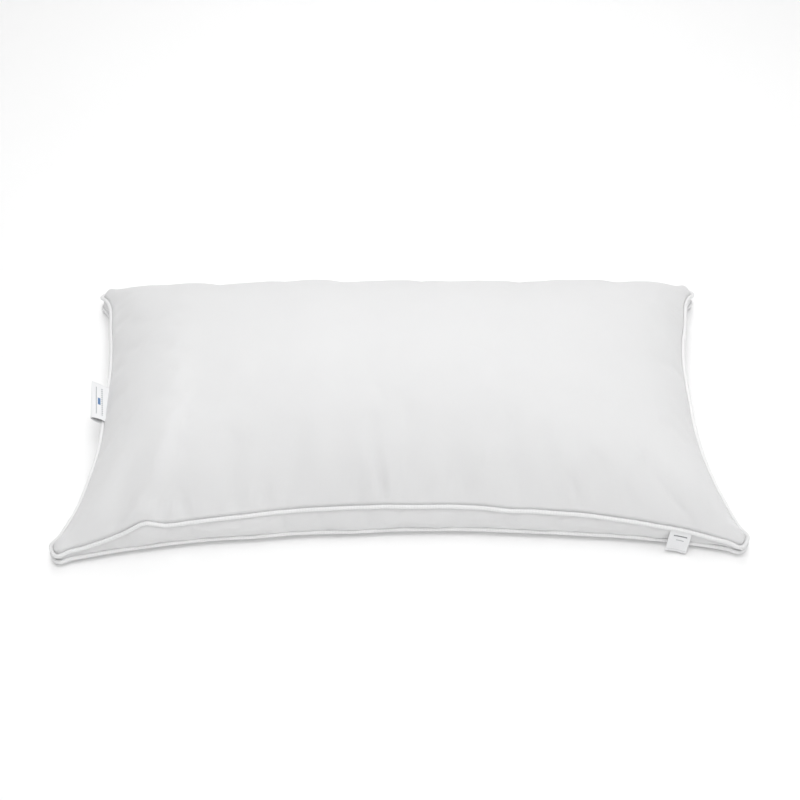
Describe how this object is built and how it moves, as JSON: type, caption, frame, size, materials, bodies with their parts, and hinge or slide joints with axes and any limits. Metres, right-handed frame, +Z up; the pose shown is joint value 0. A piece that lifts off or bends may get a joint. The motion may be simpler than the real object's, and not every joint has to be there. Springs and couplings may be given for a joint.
{
  "type": "bed pillow",
  "caption": "Plump oblong bed pillow with a side gusset, corded seams, pointed ears and small folded sewn-in labels.",
  "frame": {"origin": "centre of the pillow's footprint, on the surface it lies on", "axes": "+X along the length, +Y across the depth towards the side away from the care label, +Z up"},
  "size_m": [0.883, 0.4818, 0.1663],
  "materials": {
    "ticking": "fine close-woven white cotton ticking with a soft sheen",
    "piping": "white bias-cut cotton strip",
    "cord": "soft twisted cotton filler cord",
    "thread": "white polyester sewing thread",
    "filling": "loose white pillow filling",
    "label": "white woven satin ribbon"
  },
  "bodies": {
    "pillow": {"top_panel": "ticking", "bottom_panel": "ticking", "gusset_front": "ticking", "gusset_right": "ticking", "gusset_back": "ticking", "gusset_left": "ticking", "filling": "filling", "upper_seam_thread": "thread", "upper_piping": "piping", "upper_piping_cord": "cord", "lower_seam_thread": "thread", "lower_piping": "piping", "lower_piping_cord": "cord"},
    "brand_label_loop": {"brand_label": "label"},
    "care_label_loop": {"care_label": "label"}
  },
  "joints": [
    {"name": "brand_label_lift", "type": "hinge", "parent": "pillow", "child": "brand_label_loop", "pos_m": [-0.39295, -0.02398, 0.05829], "axis": [0.0061, 0.9999, 0.0118], "range_deg": [-60, 50]},
    {"name": "care_label_lift", "type": "hinge", "parent": "pillow", "child": "care_label_loop", "pos_m": [0.35312, -0.22879, 0.02955], "axis": [-0.9808, 0.1355, 0.1403], "range_deg": [-8, 140]}
  ]
}
